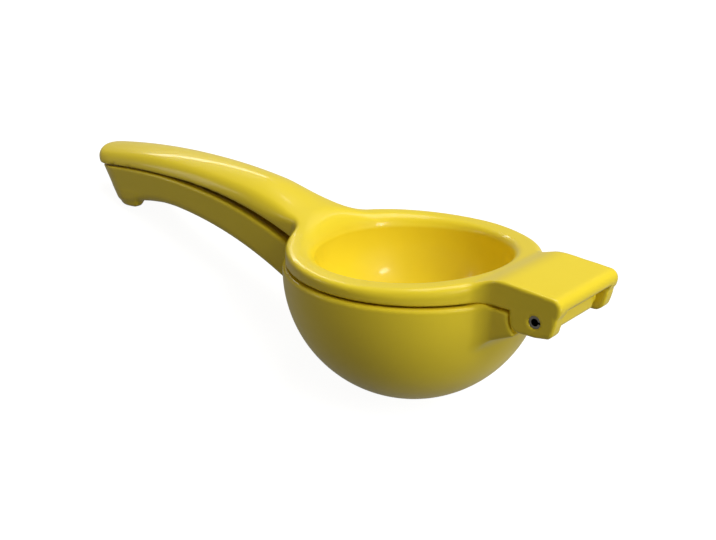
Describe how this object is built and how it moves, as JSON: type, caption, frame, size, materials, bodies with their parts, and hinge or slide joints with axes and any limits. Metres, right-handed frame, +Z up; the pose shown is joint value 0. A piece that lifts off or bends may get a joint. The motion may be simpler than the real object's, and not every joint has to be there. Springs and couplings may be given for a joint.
{
  "type": "hinged lemon squeezer",
  "caption": "Hand-held citrus press: two hinged cast arms, the upper with a round press cup and the lower with a strainer bowl, closing like a nutcracker.",
  "frame": {"origin": "middle of the closed squeezer's box, on the table it lies on", "axes": "+X from the handle ends towards the hinge, +Y along the hinge pin, +Z up from the table"},
  "size_m": [0.1946, 0.0768, 0.0624],
  "materials": {
    "yellow_enamel": "gloss enamel on cast aluminium",
    "pin_steel": "bright rolled spring steel"
  },
  "bodies": {
    "lower": {"lower_arm": "yellow_enamel"},
    "upper": {"upper_arm": "yellow_enamel", "hinge_pin": "pin_steel"}
  },
  "joints": [
    {"name": "hinge", "type": "hinge", "parent": "lower", "child": "upper", "pos_m": [0.09162, 0, 0.05382], "axis": [0, 1, 0], "range_deg": [0, 150]}
  ]
}
